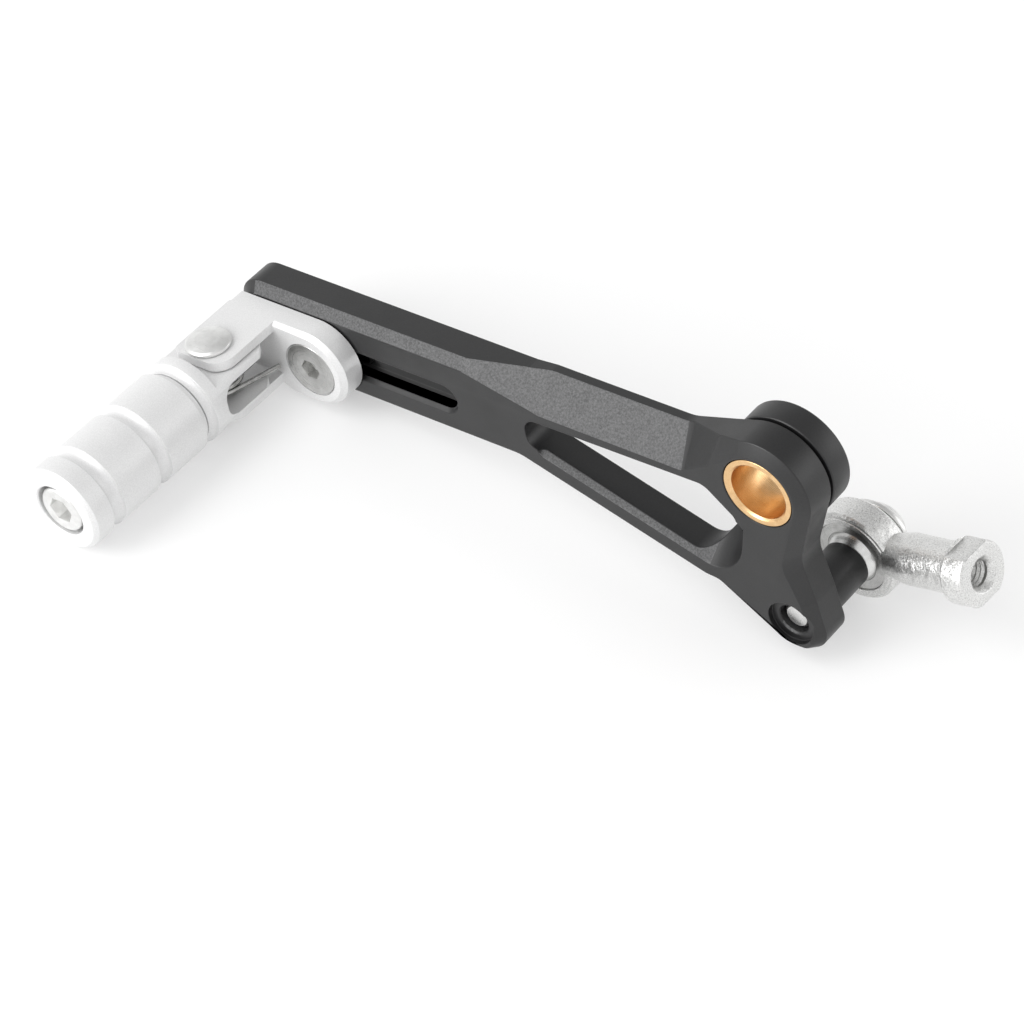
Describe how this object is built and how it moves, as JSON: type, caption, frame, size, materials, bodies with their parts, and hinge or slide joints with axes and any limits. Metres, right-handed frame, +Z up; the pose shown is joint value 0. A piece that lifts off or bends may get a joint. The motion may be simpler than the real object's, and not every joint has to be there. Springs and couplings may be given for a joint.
{
  "type": "motorcycle gear shift lever",
  "caption": "Milled gear shift lever arm with a bronze-bushed pivot, a folding grooved toe peg on a sliding bracket, and a spherical rod end.",
  "frame": {"origin": "centre of the bounding box in plan, on the surface the lever lies on", "axes": "+X from the toe peg's end towards the pivot, level; +Y from the toe peg towards the rod end; +Z up, with the lever lying at rest on its peg and the rod end's eye"},
  "size_m": [0.1656, 0.0964, 0.051],
  "materials": {
    "black_anodised": "satin black anodised, milled",
    "silver_anodised": "satin silver anodised, turned and milled",
    "bronze": "reamed bearing bronze",
    "polished_steel": "polished stainless steel",
    "blackened_steel": "blackened steel",
    "zinc_plate": "zinc-plated forged steel",
    "bearing_liner": "sintered liner",
    "rubber": "matte seal"
  },
  "bodies": {
    "lever": {"lever_arm": "black_anodised", "pivot_bush": "bronze", "pivot_collar": "black_anodised", "pivot_seal": "rubber", "link_spacer": "black_anodised", "link_bolt": "polished_steel", "link_washer": "polished_steel"},
    "bracket": {"toe_bracket": "silver_anodised", "bracket_bolt": "polished_steel", "slot_nut": "blackened_steel", "bracket_dowel": "blackened_steel", "hinge_pin": "polished_steel", "pin_washer": "polished_steel", "pin_clip": "blackened_steel"},
    "peg": {"peg_core": "silver_anodised", "peg_sleeve": "silver_anodised", "peg_screw": "polished_steel", "peg_washer": "polished_steel", "spring_sleeve": "polished_steel", "torsion_spring": "polished_steel"},
    "ball": {"rod_end_ball": "polished_steel"},
    "rod_end": {"rod_end_housing": "zinc_plate", "rod_end_race": "bearing_liner"}
  },
  "joints": [
    {"name": "bracket_adjust", "type": "slide", "parent": "lever", "child": "bracket", "axis": [0.9768, 0, 0.2141], "range_m": [-0.003, 0.029]},
    {"name": "peg_fold", "type": "hinge", "parent": "bracket", "child": "peg", "pos_m": [-0.07339, -0.0018, 0.0094], "axis": [-0.2141, 0, 0.9768], "range_deg": [0, 90], "stiffness_Nm_per_rad": 0.05, "springref_deg": -68.75, "deforming": ["torsion_spring"]},
    {"name": "rod_swing", "type": "hinge", "parent": "lever", "child": "ball", "pos_m": [0.05331, 0.0388, 0.01003], "axis": [0, -1, 0], "range_deg": [-180, 45]},
    {"name": "rod_tilt", "type": "hinge", "parent": "ball", "child": "rod_end", "pos_m": [0.05331, 0.0388, 0.01003], "axis": [0.4362, 0, -0.8999], "range_deg": [-13, 7]}
  ]
}
